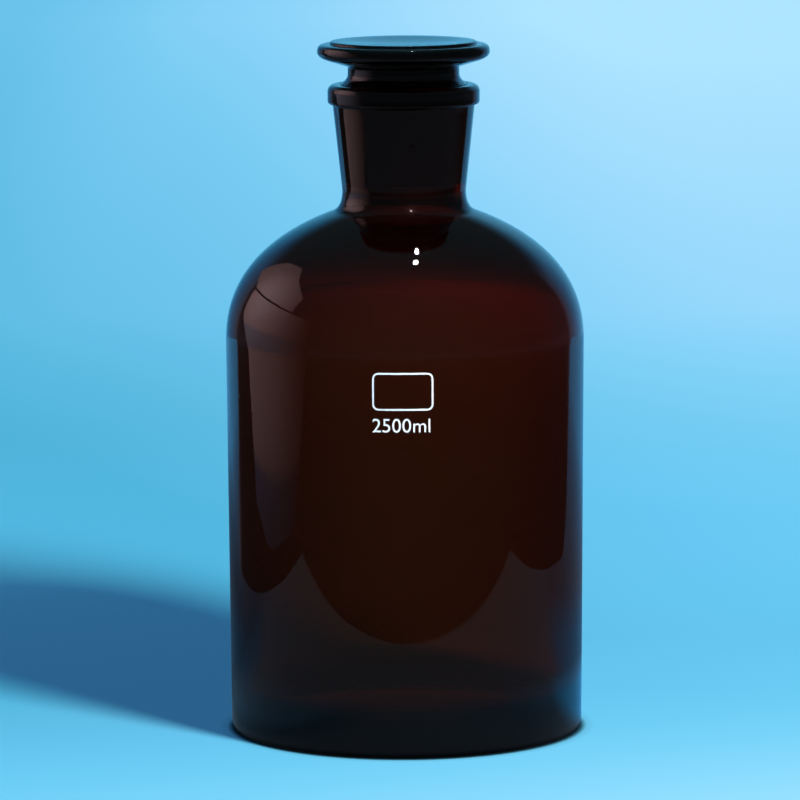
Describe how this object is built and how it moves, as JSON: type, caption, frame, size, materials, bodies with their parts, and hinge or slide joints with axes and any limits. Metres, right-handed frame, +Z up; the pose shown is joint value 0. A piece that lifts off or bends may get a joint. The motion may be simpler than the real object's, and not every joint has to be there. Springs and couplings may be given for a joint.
{
  "type": "reagent bottle",
  "caption": "Narrow-mouth amber glass reagent bottle with a domed shoulder, a beaded rim and a ground glass flat-head stopper that lifts out.",
  "frame": {"origin": "middle of the foot, on the surface that the bottle stands on", "axes": "+Z up along the bottle's axis, through the neck; the enamel mark faces -Y"},
  "size_m": [0.145, 0.1457, 0.2801],
  "materials": {
    "amber_glass": "dark amber soda-lime glass, blown, fire-polished and clear, with the neck's bore ground to a fine matt",
    "stopper_glass": "dark amber soda-lime glass, pressed and fire-polished, with the outside of the plug ground to a fine matt",
    "white_enamel": "white ceramic enamel fired onto the glass, satin"
  },
  "bodies": {
    "bottle": {"bottle": "amber_glass", "marking_panel": "white_enamel", "capacity_2": "white_enamel", "capacity_5": "white_enamel", "capacity_0_left": "white_enamel", "capacity_0_right": "white_enamel", "capacity_m": "white_enamel", "capacity_l": "white_enamel"},
    "stopper": {"stopper": "stopper_glass"}
  },
  "joints": [
    {"name": "stopper_lift", "type": "slide", "parent": "bottle", "child": "stopper", "axis": [0, 0, 1], "range_m": [0, 0.09]}
  ]
}
